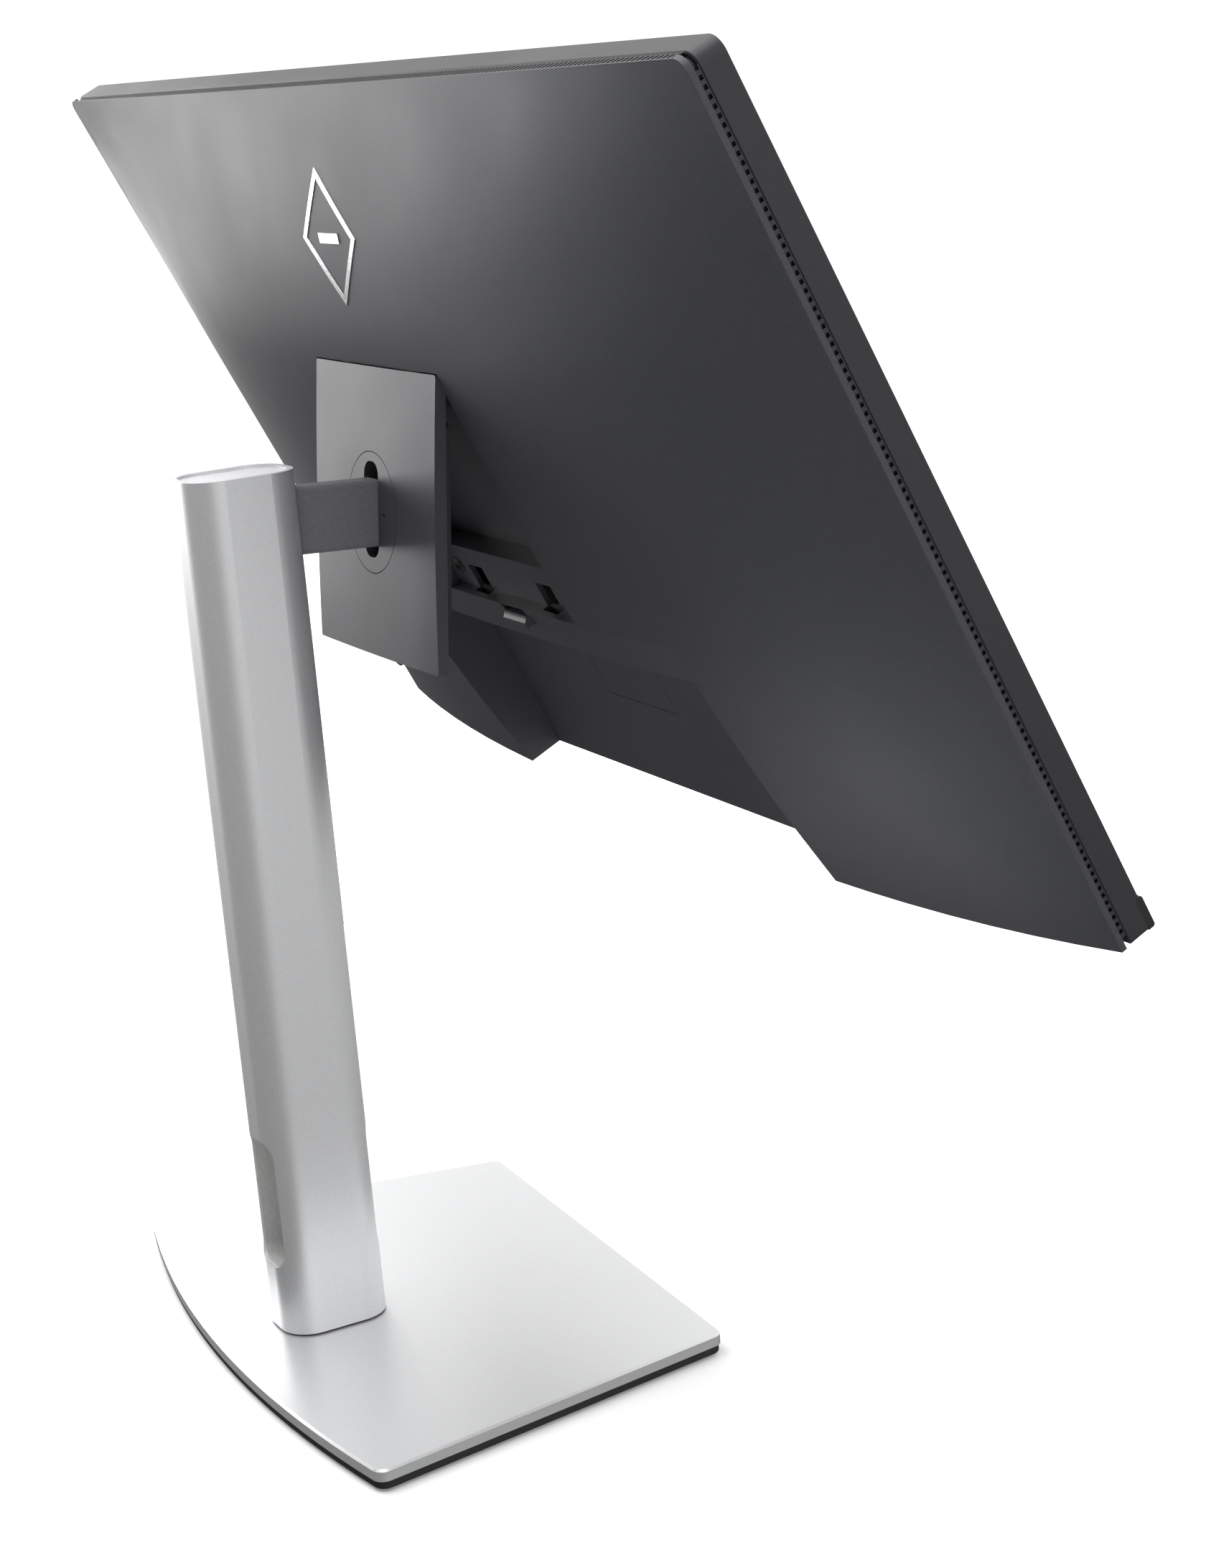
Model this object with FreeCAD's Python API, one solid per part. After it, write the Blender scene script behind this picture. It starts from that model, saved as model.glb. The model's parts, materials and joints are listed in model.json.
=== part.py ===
import FreeCAD, Part
import math
import os

# Desktop monitor on a height-adjustable stand, millimetres.
# World frame: X across the screen, screen faces -Y, Z up, Z = 0 on the desk,
# the column axis passes through X = Y = 0.
V = FreeCAD.Vector
X_AXIS = V(1, 0, 0)
Y_AXIS = V(0, 1, 0)
Z_AXIS = V(0, 0, 1)

# ---- stand base ----
BASE_TOP_Z = 10.0
BASE_REAR_HALF = 150.0
BASE_FRONT_HALF = 117.5
BASE_REAR_Y = 34.5
BASE_REAR_BULGE = 16.5
BASE_FRONT_Y = -131.5
BASE_CORNER_R = 5.0
BASE_TURN = -2.4
BASE_PLATE_Z = 5.0
PAN_BOTTOM_Z = 1.6
PAN_INSET = 2.6
BALLAST_Z0 = 2.6
BALLAST_Z1 = 4.8
FOOT_R = 9.0
FOOT_INSET = 17.0
SHAFT_R = 12.5
SHAFT_BORE_R = 12.55
BUSHING_R = 16.0

# ---- column ----
COLUMN_W = 37.0
COLUMN_D = 47.5
COLUMN_R = 14.0
COLUMN_WALL = 2.6
COLUMN_Z0 = 10.8
COLUMN_Z1 = 377.0
SLOT_HALF = 8.2
SLOT_Z0 = 183.5
SLOT_Z1 = COLUMN_Z1 - 6.0
SLOT_LINING = 0.9
CABLE_HALF = 12.5
CABLE_Z0 = 40.0
CABLE_Z1 = 97.0
CABLE_R = 7.0
LINER_T = 1.2
CAP_DROP = 1.2
CAP_T = 4.0

# ---- lift ----
RAIL_HALF = 14.6
RAIL_T = 1.5
RAIL_BACK_Y = 13.2
RAIL_Z0 = 150.0
RAIL_Z1 = SLOT_Z1
CARRIAGE_HALF = 11.6
CARRIAGE_Z0 = 321.5
CARRIAGE_Z1 = 369.5
CARRIAGE_FACE_Y0 = -16.8
CARRIAGE_FACE_Y1 = -14.8
PAD_GAP = 0.35
DRUM_R = 8.0
DRUM_Y = 2.2
DRUM_Z = CARRIAGE_Z1 - 12.0

# ---- arm ----
ARM_HALF = 6.7
ARM_Z0 = 338.6
ARM_Z1 = 366.4
ARM_ROOT_RISE = 2.2
ARM_ROOT_Y = -16.85
ARM_NOSE_Y = -60.4
ARM_NOSE_R = 8.2
TILT_Y = -65.0
TILT_Z = 352.0
TILT_PIN_R = 3.0
TILT_BORE_R = 3.05

# ---- stand head plate: local x across, y outward, z up from the top edge ----
PLATE_LEAN = 5.4
PLATE_TOP_Y = -66.1
PLATE_TOP_Z = 411.7
PLATE_HALF = 61.1
PLATE_H = 119.5
PLATE_CROWN = 1.9
PLATE_SKIRT = 4.4
PLATE_WALL = 2.0
PIVOT_V = PLATE_H / 2
DISC_R = 25.0
DISC_HOLE_R = 25.35
HEAD_DEPTH = 13.2
HEAD_SLOT_HALF = 7.3
HEAD_SLOT_V0 = 38.6
HEAD_SLOT_V1 = 78.4
HEAD_SLOT_R = 6.0
FRAME_Y0 = -11.5
FRAME_Y1 = -9.9
FLANGE_Y0 = -4.2
FLANGE_Y1 = -2.7
INNER_V0 = 20.5
INNER_V1 = 96.0
INNER_HALF = 40.0
INNER_Y0 = -15.2
HOOK_X = 33.0
HOOK_HALF = 6.0
HOOK_RISE = 3.5
WING_T = 1.9
PLATE_SCREW_X = 33.0
PLATE_SCREW_V = (33.0, 85.0)

# ---- display: local x across, y toward the back, z up from the top edge ----
DISPLAY_TIP = 25.35
HOOK_W = 110.0
BACK_LEVEL = 33.4
HALF_W = 305.65
HEIGHT = 355.7
RIM_FRONT_Y = -15.3
RIM_BACK_Y = -4.5
RIM_WALL = 1.9
RIM_R = 6.0
RIM_LOW_R = 1.2
COVER_Y0 = -2.4
COVER_WALL = 2.4
TONGUE_INSET = 2.0
TONGUE_T = 1.6
TONGUE_REACH = 3.4
CHIN_TOP_W = 342.0
CHIN_FRONT_Y = -16.8
ARCH_POWER = 3.0
EDGE_RISE = 1.2
ARCH_STATIONS = ((0.0, EDGE_RISE), (28.0, 11.5), (60.0, 22.3), (92.0, 30.5), (HOOK_W, BACK_LEVEL - 0.1),
                 (150.0, BACK_LEVEL + 1.1), (195.0, BACK_LEVEL + 1.1), (230.0, BACK_LEVEL + 0.1),
                 (256.0, BACK_LEVEL - 1.8), (300.0, 27.2), (330.0, 22.8), (HEIGHT, 18.4))
RECESS_HALF = PLATE_HALF + 0.5
RECESS_W0 = HOOK_W - 0.4
RECESS_W1 = HOOK_W + PLATE_H + 0.5
RECESS_FLOOR = BACK_LEVEL - 16.0
LEDGE_LEVEL = BACK_LEVEL - 6.0
LEDGE_W0 = HOOK_W + 19.7
LEDGE_W1 = HOOK_W + 98.5
NICHE_HALF = 138.0
NICHE_W0 = 252.0
NICHE_FLOOR = -0.6
FACET_DROP = 4.5
FACET_STEP = 0.25
VESA_HALF = 50.0
VESA_W = HOOK_W + PLATE_H / 2
VESA_R = 2.0
PIN_COUNT = 3


def box(x0, x1, y0, y1, z0, z1):
    return Part.makeBox(x1 - x0, y1 - y0, z1 - z0, V(x0, y0, z0))


def wbox(x0, x1, y0, y1, w0, w1):
    """Box in a local frame whose w (or v) coordinate runs down from the top edge."""
    return box(x0, x1, y0, y1, -w1, -w0)


def cyl(r, x, y, z, axis, length):
    return Part.makeCylinder(r, length, V(x, y, z), axis)


def rounded_prism_z(w, d, r, z0, z1, cx=0.0, cy=0.0):
    shape = box(cx - w / 2, cx + w / 2, cy - d / 2, cy + d / 2, z0, z1)
    edges = [e for e in shape.Edges if abs(e.tangentAt(e.FirstParameter).z) > 0.99]
    return shape.makeFillet(r, edges)


def rounded_prism_y(x0, x1, z0, z1, r, y0, y1):
    shape = box(x0, x1, y0, y1, z0, z1)
    edges = [e for e in shape.Edges if abs(e.tangentAt(e.FirstParameter).y) > 0.99]
    return shape.makeFillet(r, edges)


def rim_prism(inset, r_top, r_low, y0, y1):
    """The screen case outline: round upper corners, nearly square lower ones."""
    shape = box(-HALF_W + inset, HALF_W - inset, y0, y1, -HEIGHT + inset, -inset)
    for radius, upper in ((r_top, True), (r_low, False)):
        edges = []
        for e in shape.Edges:
            along = abs(e.tangentAt(e.FirstParameter).y) > 0.99 and e.Length > (y1 - y0) / 2
            if along and (e.CenterOfMass.z > -HEIGHT / 2) == upper:
                edges.append(e)
        shape = shape.makeFillet(radius, edges)
    return shape


def prism_x(points, x0, x1):
    """Extrude a closed (y, z) outline along X."""
    verts = [V(x0, y, z) for y, z in points]
    face = Part.Face(Part.makePolygon(verts + verts[:1]))
    return face.extrude(V(x1 - x0, 0, 0))


def prism_y(points, y0, y1):
    """Extrude a closed (x, z) outline along Y."""
    verts = [V(x, y0, z) for x, z in points]
    face = Part.Face(Part.makePolygon(verts + verts[:1]))
    return face.extrude(V(0, y1 - y0, 0))


def fuse_all(shapes):
    first = shapes[0]
    if len(shapes) == 1:
        return first
    return first.multiFuse(shapes[1:]).removeSplitter()


def cut_all(shape, tools):
    return shape.cut(tools)


def on_base(shape):
    """Turn a base piece about the swivel, as the column stands slightly off square on it."""
    out = shape.copy()
    out.rotate(V(0, 0, 0), Z_AXIS, BASE_TURN)
    return out


def on_plate(shape):
    """Move a shape from the head-plate frame to the world frame."""
    out = shape.copy()
    out.rotate(V(0, 0, 0), X_AXIS, PLATE_LEAN)
    out.translate(V(0, PLATE_TOP_Y, PLATE_TOP_Z))
    return out


def on_display(shape):
    """Move a shape from the display frame to the world frame, tipped out on the hooks."""
    out = shape.copy()
    out.translate(V(0, -BACK_LEVEL, HOOK_W))
    out.rotate(V(0, 0, 0), X_AXIS, -DISPLAY_TIP)
    out.translate(V(0, PLATE_TOP_Y, PLATE_TOP_Z))
    return out


def save(shape, node):
    if isinstance(shape, list):
        shape = Part.makeCompound(shape)
    shape.exportStep("parts/" + node + ".step")


# ---------------------------------------------------------------- stand base
def base_outline(inset, z):
    rear = BASE_REAR_HALF - inset
    front = BASE_FRONT_HALF - inset
    y1 = BASE_REAR_Y - inset
    y0 = BASE_FRONT_Y + inset
    arc = Part.Arc(V(rear, y1, z), V(0, y1 + BASE_REAR_BULGE, z), V(-rear, y1, z))
    edges = [arc.toShape()]
    edges.append(Part.makeLine(V(-rear, y1, z), V(-front, y0, z)))
    edges.append(Part.makeLine(V(-front, y0, z), V(front, y0, z)))
    edges.append(Part.makeLine(V(front, y0, z), V(rear, y1, z)))
    return Part.Face(Part.Wire(edges))


def base_slab(inset, z0, z1):
    slab = base_outline(inset, z0).extrude(V(0, 0, z1 - z0))
    upright = [e for e in slab.Edges if abs(e.tangentAt(e.FirstParameter).z) > 0.99]
    return slab.makeFillet(max(BASE_CORNER_R - inset, 1.5), upright)


def make_base_top():
    slab = base_slab(0.0, BASE_PLATE_Z, BASE_TOP_Z)
    rim = [e for e in slab.Edges if e.BoundBox.ZMin > BASE_TOP_Z - 0.01]
    slab = slab.makeChamfer(0.9, rim)
    return slab.cut(cyl(BUSHING_R, 0, 0, 0, Z_AXIS, 20.0))


def make_base_pan():
    pan = base_slab(PAN_INSET, PAN_BOTTOM_Z, BASE_PLATE_Z)
    tray = base_slab(PAN_INSET + 2.5, BALLAST_Z0, BASE_PLATE_Z + 1.0)
    ring = cyl(30.0, 0, 0, BALLAST_Z0, Z_AXIS, BASE_PLATE_Z - BALLAST_Z0)
    pan = pan.cut(tray.cut(ring))
    return pan.cut(cyl(24.0, 0, 0, 0, Z_AXIS, 20.0))


def make_base_ballast():
    slab = base_slab(PAN_INSET + 3.5, BALLAST_Z0, BALLAST_Z1)
    return slab.cut(cyl(31.0, 0, 0, 0, Z_AXIS, 20.0))


def make_base_feet():
    spots = []
    for side in (-1, 1):
        spots.append((side * (BASE_REAR_HALF - FOOT_INSET), BASE_REAR_Y - FOOT_INSET + 4.0))
        spots.append((side * (BASE_FRONT_HALF - FOOT_INSET), BASE_FRONT_Y + FOOT_INSET))
    feet = []
    for x, y in spots:
        pad = cyl(FOOT_R, x, y, 0, Z_AXIS, PAN_BOTTOM_Z)
        low = [e for e in pad.Edges if e.BoundBox.ZMax < 0.01]
        feet.append(pad.makeChamfer(0.5, low))
    return feet


def make_swivel_bushing():
    ring = cyl(BUSHING_R, 0, 0, BASE_PLATE_Z, Z_AXIS, BASE_TOP_Z - BASE_PLATE_Z)
    return ring.cut(cyl(SHAFT_BORE_R, 0, 0, 0, Z_AXIS, 20.0))


# ---------------------------------------------------------------- column
def make_swivel_shaft():
    plate = rounded_prism_z(COLUMN_W - 1.6, COLUMN_D - 1.6, COLUMN_R - 0.8,
                            BASE_TOP_Z + 0.3, COLUMN_Z0)
    plug = rounded_prism_z(COLUMN_W - 2 * COLUMN_WALL, COLUMN_D - 2 * COLUMN_WALL,
                           COLUMN_R - COLUMN_WALL, COLUMN_Z0, COLUMN_Z0 + 8.0)
    shaft = cyl(SHAFT_R, 0, 0, BASE_PLATE_Z - 0.6, Z_AXIS, 10.0)
    body = fuse_all([plate, plug, shaft])
    return body.cut(cyl(3.4, 0, 0, 0, Z_AXIS, 30.0))


def make_swivel_retainer():
    ring = cyl(20.0, 0, 0, BASE_PLATE_Z - 1.9, Z_AXIS, 1.3)
    return ring.cut(cyl(3.4, 0, 0, 0, Z_AXIS, 30.0))


def make_base_thumbscrew():
    head = cyl(11.0, 0, 0, BASE_PLATE_Z - 3.2, Z_AXIS, 1.3)
    stem = cyl(3.2, 0, 0, BASE_PLATE_Z - 3.2, Z_AXIS, 17.0)
    body = fuse_all([head, stem])
    low = BASE_PLATE_Z - 3.2
    return body.cut(box(-12.0, 12.0, -1.0, 1.0, low - 0.1, low + 0.6))


def column_section(inset, z0, z1):
    return rounded_prism_z(COLUMN_W - 2 * inset, COLUMN_D - 2 * inset,
                           COLUMN_R - inset, z0, z1)


def cable_window(grow):
    return rounded_prism_y(-CABLE_HALF - grow, CABLE_HALF + grow,
                           CABLE_Z0 - grow, CABLE_Z1 + grow, CABLE_R + grow,
                           -COLUMN_D, COLUMN_D)


def make_column():
    tube = column_section(0.0, COLUMN_Z0, COLUMN_Z1)
    tube = tube.cut(column_section(COLUMN_WALL, COLUMN_Z0 - 1, COLUMN_Z1 + 1))
    slot = box(-SLOT_HALF, SLOT_HALF, -COLUMN_D, -COLUMN_D / 4, SLOT_Z0, SLOT_Z1)
    return cut_all(tube, [slot, cable_window(0.0)])


def make_column_cap():
    top = COLUMN_Z1 - CAP_DROP
    cap = column_section(COLUMN_WALL, top - CAP_T, top)
    rim = [e for e in cap.Edges if e.BoundBox.ZMin > top - 0.01]
    return cap.makeFillet(0.8, rim)


def make_cable_liner():
    outer = cable_window(-0.05)
    inner = cable_window(-LINER_T)
    reach = column_section(COLUMN_WALL - 1.2, COLUMN_Z0, COLUMN_Z1)
    return outer.common(reach).cut(inner)


def make_slot_lining():
    y0 = -COLUMN_D / 2 + 0.3
    outer = box(-SLOT_HALF + 0.02, SLOT_HALF - 0.02, y0, y0 + 3.2, SLOT_Z0 + 0.02, SLOT_Z1 - 0.02)
    hole = box(-SLOT_HALF + SLOT_LINING, SLOT_HALF - SLOT_LINING, y0 - 1, y0 + 5,
               SLOT_Z0 + SLOT_LINING, SLOT_Z1 - SLOT_LINING)
    return outer.cut(hole)


def make_lift_rail():
    outer = box(-RAIL_HALF, RAIL_HALF, -7.0, RAIL_BACK_Y, RAIL_Z0, RAIL_Z1)
    inner = box(-RAIL_HALF + RAIL_T, RAIL_HALF - RAIL_T, -8.0,
                RAIL_BACK_Y - RAIL_T, RAIL_Z0 - 1, RAIL_Z1 + 1)
    holes = [cyl(2.2, 0, 10, z, Y_AXIS, 10.0) for z in (175.0, 320.0)]
    return cut_all(outer.cut(inner), holes)


def make_spring_band():
    y1 = RAIL_BACK_Y - RAIL_T
    return box(-6.0, 6.0, y1 - 0.8, y1 - 0.3, SLOT_Z0 - 20.0, RAIL_Z1 - 1.0)


# ---------------------------------------------------------------- lift carriage
def make_lift_carriage():
    sides = []
    for x0 in (-CARRIAGE_HALF, CARRIAGE_HALF - 1.8):
        sides.append(box(x0, x0 + 1.8, CARRIAGE_FACE_Y0, 9.5, CARRIAGE_Z0, CARRIAGE_Z1))
    face = box(-CARRIAGE_HALF, CARRIAGE_HALF, CARRIAGE_FACE_Y0, CARRIAGE_FACE_Y1,
               CARRIAGE_Z0, CARRIAGE_Z1)
    floor = box(-CARRIAGE_HALF, CARRIAGE_HALF, CARRIAGE_FACE_Y0, 9.5,
                CARRIAGE_Z0, CARRIAGE_Z0 + 2.0)
    body = fuse_all(sides + [face, floor])
    window = box(-4.3, 4.3, -20.0, CARRIAGE_FACE_Y1 + 1, ARM_Z0 + 4.2, ARM_Z1 - 4.2)
    bore = cyl(2.05, -20, DRUM_Y, DRUM_Z, X_AXIS, 40.0)
    return cut_all(body, [window, bore])


def make_carriage_pads():
    pads = []
    outer = RAIL_HALF - RAIL_T - PAD_GAP
    for side in (-1, 1):
        for z in (CARRIAGE_Z0 + 3.0, CARRIAGE_Z1 - 12.0):
            x0 = min(side * CARRIAGE_HALF, side * outer)
            x1 = max(side * CARRIAGE_HALF, side * outer)
            pads.append(box(x0, x1, -5.0, 8.0, z, z + 9.0))
    return pads


def make_drum_axle():
    return cyl(2.0, -CARRIAGE_HALF, DRUM_Y, DRUM_Z, X_AXIS, 2 * CARRIAGE_HALF)


def make_spring_drum():
    drum = cyl(DRUM_R, -6.2, DRUM_Y, DRUM_Z, X_AXIS, 12.4)
    for x in (-6.3, 5.5):
        groove = cyl(DRUM_R - 1.6, x, DRUM_Y, DRUM_Z, X_AXIS, 0.8)
        drum = drum.cut(groove.cut(cyl(4.2, x, DRUM_Y, DRUM_Z, X_AXIS, 0.8)))
    return drum.cut(cyl(2.06, -10, DRUM_Y, DRUM_Z, X_AXIS, 20.0))


def arm_profile():
    nose = ARM_NOSE_R
    points = [(ARM_ROOT_Y, ARM_Z0 + ARM_ROOT_RISE), (ARM_ROOT_Y, ARM_Z1 + ARM_ROOT_RISE)]
    points.append((ARM_NOSE_Y, ARM_Z1))
    for k in range(7):
        a = math.radians(130.0 + 100.0 * k / 6)
        points.append((TILT_Y + nose * math.cos(a), TILT_Z + nose * math.sin(a)))
    points.append((ARM_NOSE_Y, ARM_Z0))
    return points


def make_arm():
    body = prism_x(arm_profile(), -ARM_HALF, ARM_HALF)
    long_edges = []
    for e in body.Edges:
        flat = abs(abs(e.tangentAt(e.FirstParameter).y) - 1.0) < 0.01
        if flat and e.Length > 30:
            long_edges.append(e)
    body = body.makeFillet(2.4, long_edges)
    core = box(-4.3, 4.3, ARM_NOSE_Y + 4, ARM_ROOT_Y + 1, ARM_Z0 + 4.2, ARM_Z1 - 4.2)
    pin = cyl(TILT_BORE_R, -20, TILT_Y, TILT_Z, X_AXIS, 40.0)
    return cut_all(body, [core, pin])


def make_arm_core():
    beam = box(-4.2, 4.2, ARM_NOSE_Y + 4.1, -12.6, ARM_Z0 + 4.3, ARM_Z1 - 4.3)
    head = box(-9.0, 9.0, CARRIAGE_FACE_Y1, -12.4, ARM_Z0 + 1.0, ARM_Z1 - 1.0)
    return beam.fuse(head)


# ---------------------------------------------------------------- tilt head
def plate_dome(y_shift):
    chord = PLATE_HALF ** 2 + (PLATE_H / 2) ** 2
    radius = (chord + PLATE_CROWN ** 2) / (2 * PLATE_CROWN)
    return Part.makeSphere(radius, V(0, y_shift + PLATE_CROWN - radius, -PLATE_H / 2))


def head_slot(grow, y0, y1):
    half = HEAD_SLOT_HALF + grow
    v0 = HEAD_SLOT_V0 - grow
    v1 = HEAD_SLOT_V1 + grow
    return rounded_prism_y(-half, half, -v1, -v0, HEAD_SLOT_R + grow, y0, y1)


def tilt_axis_local():
    dy = TILT_Y - PLATE_TOP_Y
    dz = TILT_Z - PLATE_TOP_Z
    a = math.radians(PLATE_LEAN)
    return dy * math.cos(a) + dz * math.sin(a), -dy * math.sin(a) + dz * math.cos(a)


def make_pivot_disc():
    disc = cyl(DISC_R, 0, -HEAD_DEPTH, -PIVOT_V, Y_AXIS, HEAD_DEPTH + 6.0)
    disc = disc.common(plate_dome(0.0))
    ty, tz = tilt_axis_local()
    pin = cyl(TILT_PIN_R + 0.02, -18.0, ty, tz, X_AXIS, 36.0)
    pockets = []
    for x0 in (-14.5, 8.5):
        pockets.append(cyl(6.4, x0, ty - 0.01, tz, X_AXIS, 6.0))
        pockets.append(box(x0, x0 + 6.0, -HEAD_DEPTH - 1, ty, tz - 6.4, tz + 6.4))
    rim = cyl(DISC_R + 1, 0, -HEAD_DEPTH - 1, -PIVOT_V, Y_AXIS, 2.6)
    rim = rim.cut(cyl(DISC_R - 3.0, 0, -HEAD_DEPTH - 1, -PIVOT_V, Y_AXIS, 2.6))
    return cut_all(disc, [head_slot(0.0, -30, 20), pin, rim] + pockets)


def make_tilt_retainer():
    ring = cyl(30.0, 0, -HEAD_DEPTH - 0.05, -PIVOT_V, Y_AXIS, 1.3)
    return ring.cut(cyl(DISC_R - 2.9, 0, -HEAD_DEPTH - 3, -PIVOT_V, Y_AXIS, 6.0))


def make_tilt_pin():
    ty, tz = tilt_axis_local()
    return cyl(TILT_PIN_R, -17.5, ty, tz, X_AXIS, 35.0)


def make_tilt_washers():
    ty, tz = tilt_axis_local()
    rings = []
    for x in (-14.2, -12.2, -10.2, 8.8, 10.8, 12.8):
        ring = cyl(6.0, x, ty, tz, X_AXIS, 1.4)
        rings.append(ring.cut(cyl(TILT_PIN_R + 0.01, x - 1, ty, tz, X_AXIS, 4.0)))
    return rings


# ---------------------------------------------------------------- head plate
def make_plate_cover():
    outer = rounded_prism_y(-PLATE_HALF, PLATE_HALF, -PLATE_H, 0.0, 1.2, -PLATE_SKIRT, 6.0)
    outer = outer.common(plate_dome(0.0))
    hollow = wbox(-PLATE_HALF + PLATE_WALL, PLATE_HALF - PLATE_WALL, -PLATE_SKIRT - 1, 6.0,
                  PLATE_WALL, PLATE_H - PLATE_WALL)
    hollow = hollow.common(plate_dome(-2.4))
    hole = cyl(DISC_HOLE_R, 0, -20, -PIVOT_V, Y_AXIS, 40.0)
    cuts = [hollow, hole]
    for x in (-HOOK_X, HOOK_X):
        cuts.append(wbox(x - HOOK_HALF - 0.4, x + HOOK_HALF + 0.4, -PLATE_SKIRT - 1, FLANGE_Y1 + 0.3,
                         -1.0, PLATE_WALL + 0.5))
        cuts.append(wbox(x - HOOK_HALF - 0.4, x + HOOK_HALF + 0.4, -PLATE_SKIRT - 1, FLANGE_Y1 + 0.3,
                         PLATE_H - PLATE_WALL - 0.5, PLATE_H + 1))
    return cut_all(outer, cuts)


def make_plate_frame():
    half = INNER_HALF - 1.8
    pieces = [wbox(-half, half, FRAME_Y0, FRAME_Y1, INNER_V0 + 1.4, INNER_V1 - 1.4)]
    pieces.append(wbox(-half, half, FRAME_Y0, FLANGE_Y1, INNER_V0 + 1.4, INNER_V0 + 3.0))
    pieces.append(wbox(-half, half, FRAME_Y0, FLANGE_Y1, INNER_V1 - 3.0, INNER_V1 - 1.4))
    pieces.append(wbox(-half, half, FLANGE_Y0, FLANGE_Y1, PLATE_WALL + 0.3, INNER_V0 + 3.0))
    pieces.append(wbox(-half, half, FLANGE_Y0, FLANGE_Y1, INNER_V1 - 3.0, PLATE_H - PLATE_WALL - 0.3))
    for x in (-HOOK_X, HOOK_X):
        x0 = x - HOOK_HALF
        x1 = x + HOOK_HALF
        pieces.append(wbox(x0, x1, FLANGE_Y0, FLANGE_Y1, -HOOK_RISE, 6.0))
        pieces.append(wbox(x0, x1, TAB_Y0, FLANGE_Y1, TAB_V0, TAB_V0 + 2.0))
        pieces.append(wbox(x0, x1, TAB_Y0, TAB_Y0 + TAB_T, TAB_V0, TAB_V1))
    frame = fuse_all(pieces)
    cuts = [cyl(DISC_HOLE_R, 0, -20, -PIVOT_V, Y_AXIS, 40.0)]
    centre = VESA_W - HOOK_W
    for x in (-VESA_HALF, VESA_HALF):
        for v in (centre - VESA_HALF, centre + VESA_HALF):
            cuts.append(cyl(5.4, x, -8, -v, Y_AXIS, 8.0))
    for x in (-PLATE_SCREW_X, PLATE_SCREW_X):
        for v in PLATE_SCREW_V:
            cuts.append(cyl(1.7, x, -20, -v, Y_AXIS, 20.0))
    return cut_all(frame, cuts)


def make_plate_inner():
    tub = wbox(-INNER_HALF, INNER_HALF, INNER_Y0, -PLATE_SKIRT - 0.1, INNER_V0, INNER_V1)
    hollow = wbox(-INNER_HALF + 1.4, INNER_HALF - 1.4, INNER_Y0 + 1.2, 0,
                  INNER_V0 + 1.3, INNER_V1 - 1.3)
    wings = wbox(-PLATE_HALF + 0.7, PLATE_HALF - 0.7, -PLATE_SKIRT - 0.1 - WING_T,
                 -PLATE_SKIRT - 0.1, INNER_V0, INNER_V1)
    body = fuse_all([tub, wings]).cut(hollow)
    cuts = [cyl(16.0, 0, -20, -PIVOT_V, Y_AXIS, 12.0)]
    for x in (-PLATE_SCREW_X, PLATE_SCREW_X):
        for v in PLATE_SCREW_V:
            cuts.append(cyl(1.8, x, -20, -v, Y_AXIS, 12.0))
    return cut_all(body, cuts)


def make_plate_screws():
    screws = []
    for x in (-PLATE_SCREW_X, PLATE_SCREW_X):
        for v in PLATE_SCREW_V:
            head = cyl(3.0, x, FRAME_Y0 - 1.6, -v, Y_AXIS, 1.6)
            stem = cyl(1.6, x, FRAME_Y0 - 1.6, -v, Y_AXIS, 5.4)
            cross = [box(x - 1.6, x + 1.6, FRAME_Y0 - 2, FRAME_Y0 - 0.9, -v - 0.3, -v + 0.3)]
            cross.append(box(x - 0.3, x + 0.3, FRAME_Y0 - 2, FRAME_Y0 - 0.9, -v - 1.6, -v + 1.6))
            screws.append(cut_all(head.fuse(stem), cross))
    return screws


# ---------------------------------------------------------------- rear cover
def arch_level(x, height):
    return height * (1.0 - (abs(x) / HALF_W) ** ARCH_POWER)


def arch_height(w):
    """Height of the back on its middle line at the distance w below the top edge."""
    for (w0, h0), (w1, h1) in zip(ARCH_STATIONS, ARCH_STATIONS[1:]):
        if w <= w1:
            return h0 + (h1 - h0) * (w - w0) / (w1 - w0)
    return ARCH_STATIONS[-1][1]


def arch_wire(w, height, inset):
    """Closed profile in the plane z = -w: arched top, flat bottom at COVER_Y0."""
    half = HALF_W - inset
    steps = 20
    pts = []
    for k in range(steps + 1):
        x = -half + 2 * half * k / steps
        pts.append(V(x, arch_level(x * HALF_W / half, height) - inset, -w))
    curve = Part.BSplineCurve()
    curve.interpolate(pts)
    low = COVER_Y0 - 0.001 if inset == 0 else COVER_Y0 - 3.0
    a = V(-half, low, -w)
    b = V(half, low, -w)
    edges = [curve.toShape(), Part.makeLine(pts[-1], b), Part.makeLine(b, a)]
    edges.append(Part.makeLine(a, pts[0]))
    return Part.Wire(edges)


def arch_solid(inset):
    wires = []
    last = len(ARCH_STATIONS) - 1
    for k, (w, height) in enumerate(ARCH_STATIONS):
        if k == 0:
            w += inset
            height = arch_height(w)
        if k == last:
            w -= inset
        wires.append(arch_wire(w, height, inset))
    return Part.makeLoft(wires, True, False)


def recess_void():
    top = BACK_LEVEL + 12.0
    main = wbox(-RECESS_HALF, RECESS_HALF, RECESS_FLOOR, top, LEDGE_W0, LEDGE_W1)
    wide = wbox(-RECESS_HALF, RECESS_HALF, LEDGE_LEVEL, top, RECESS_W0, RECESS_W1)
    return main.fuse(wide)


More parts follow.
